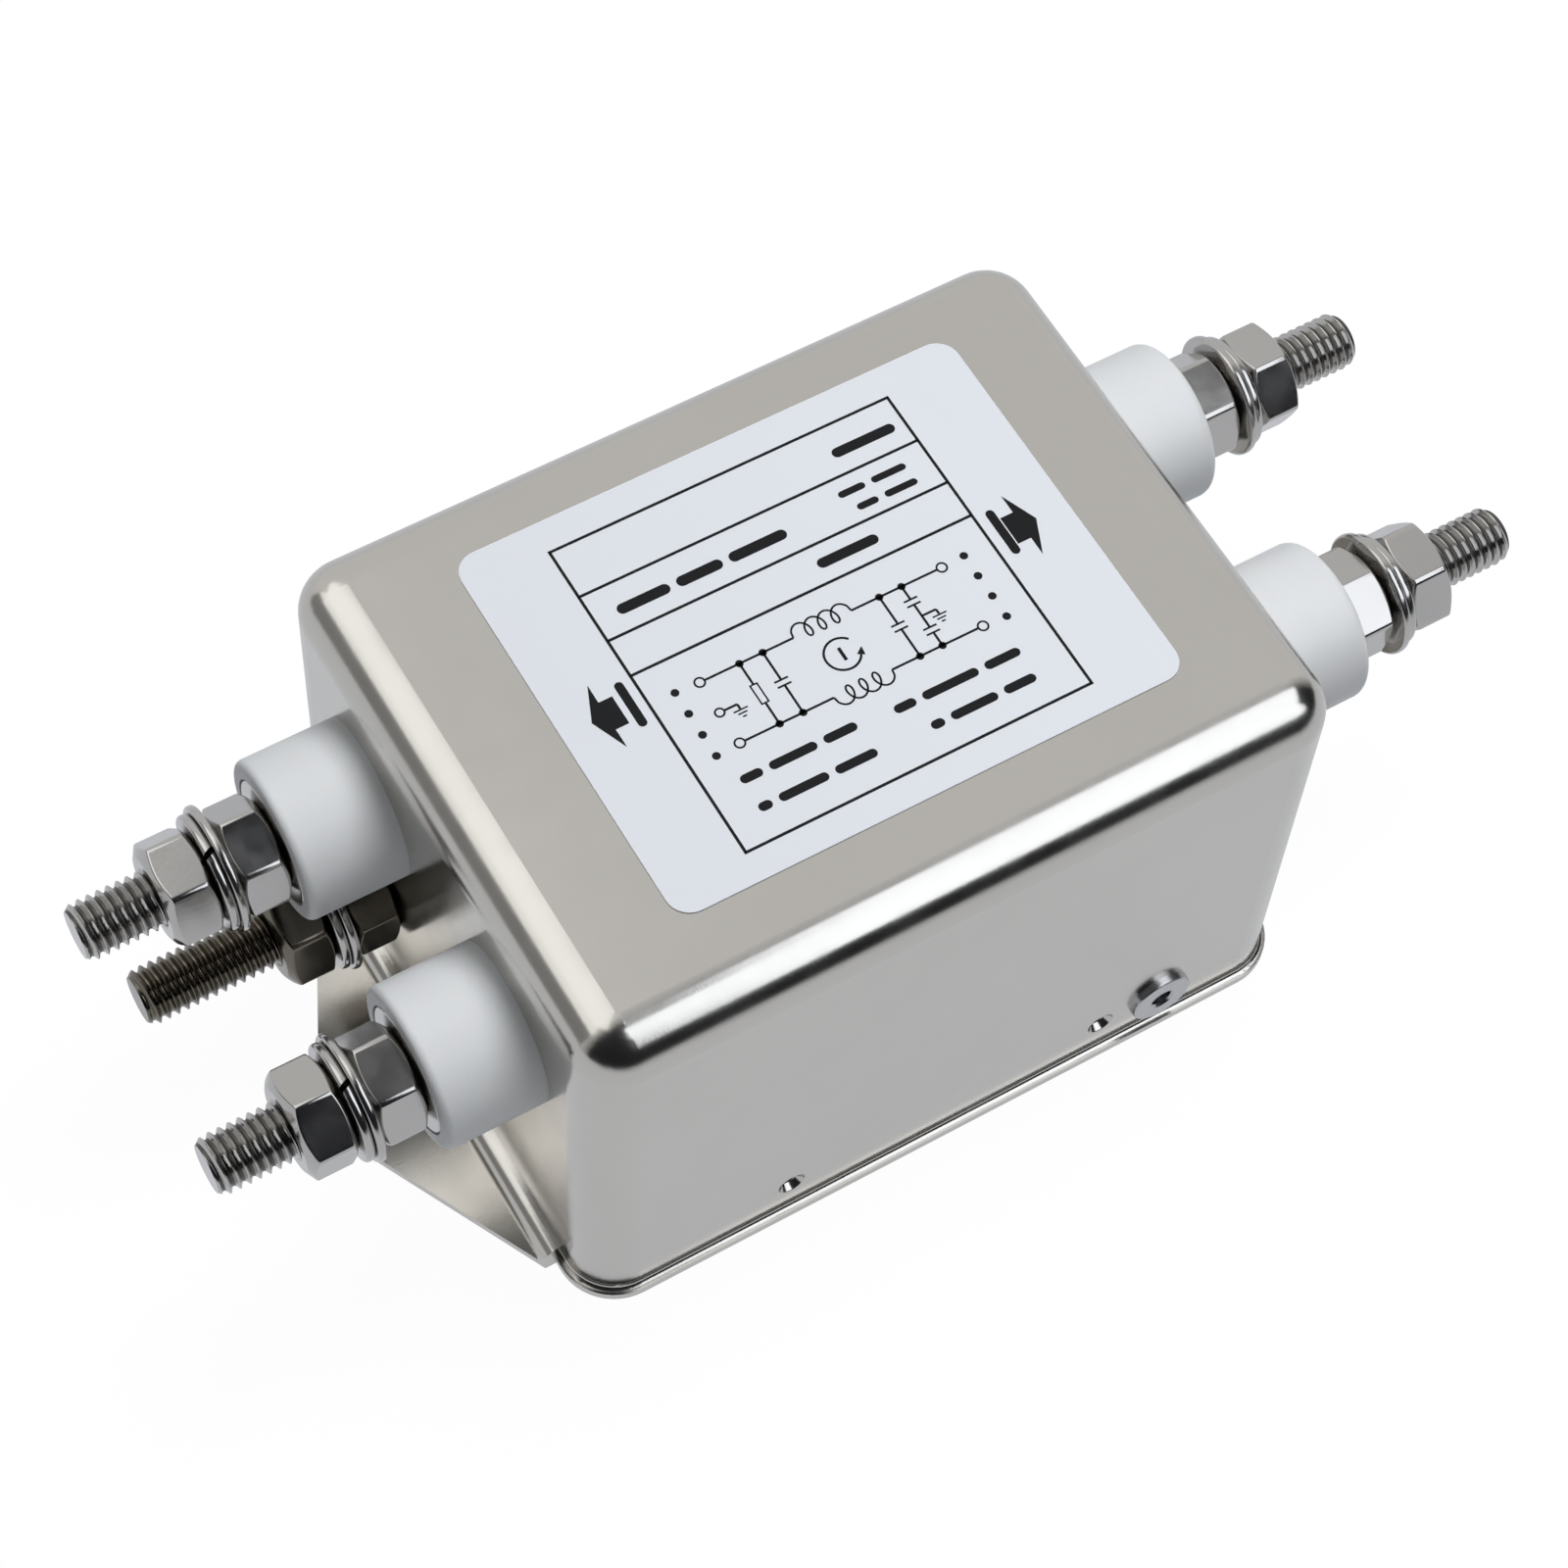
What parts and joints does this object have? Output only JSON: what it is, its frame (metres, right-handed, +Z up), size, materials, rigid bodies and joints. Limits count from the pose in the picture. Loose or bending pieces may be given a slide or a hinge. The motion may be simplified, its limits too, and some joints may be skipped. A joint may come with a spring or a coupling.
{
  "type": "emi line filter",
  "caption": "Line filter in a drawn steel can with a flat printed top, insulated stud terminals at both ends, an earth stud and slotted mounting ears.",
  "frame": {"origin": "middle of the can's footprint, midway between the two ear slots, on the mounting plane", "axes": "+X from the line end to the load end along the studs, +Y towards the earth stud's side, +Z up out of the labelled top"},
  "size_m": [0.143, 0.0628, 0.0509],
  "materials": {
    "can": "bright drawn steel, plain top, soft gloss",
    "cover": "bright sheet steel",
    "fastener": "polished steel",
    "rivet": "bright",
    "label": "pale grey printed film",
    "insulator": "smooth off-white plastic",
    "copper": "tinned copper strap",
    "enamel_wire": "enamelled copper wire",
    "liner": "thin insulating sheet",
    "spacer": "natural plastic",
    "board": "green laminate",
    "core": "dark coated ring core",
    "choke_plastic": "black plastic",
    "x_capacitor": "yellow box",
    "y_capacitor": "blue coated disc",
    "resistor": "coated body"
  },
  "bodies": {
    "root": {"can": "can", "bottom_cover": "cover", "rivets": "rivet", "label": "label", "line_bushings": "insulator", "load_bushings": "insulator", "inner_flanges": "insulator", "line_studs": "fastener", "load_studs": "fastener", "seat_washers": "fastener", "seat_nuts": "fastener", "clamp_nuts": "fastener", "flat_washers": "fastener", "spring_washers": "fastener", "earth_stud": "fastener", "earth_nuts": "fastener", "earth_strap": "copper", "inner_nuts": "fastener", "line_straps": "copper", "load_straps": "copper", "liner": "liner", "spacers": "spacer", "circuit_board": "board", "choke_base": "choke_plastic", "choke_core": "core", "front_winding": "enamel_wire", "back_winding": "enamel_wire", "core_divider": "choke_plastic", "x_capacitors": "x_capacitor", "y_capacitors": "y_capacitor", "bleeder_resistor": "resistor"}
  },
  "joints": []
}
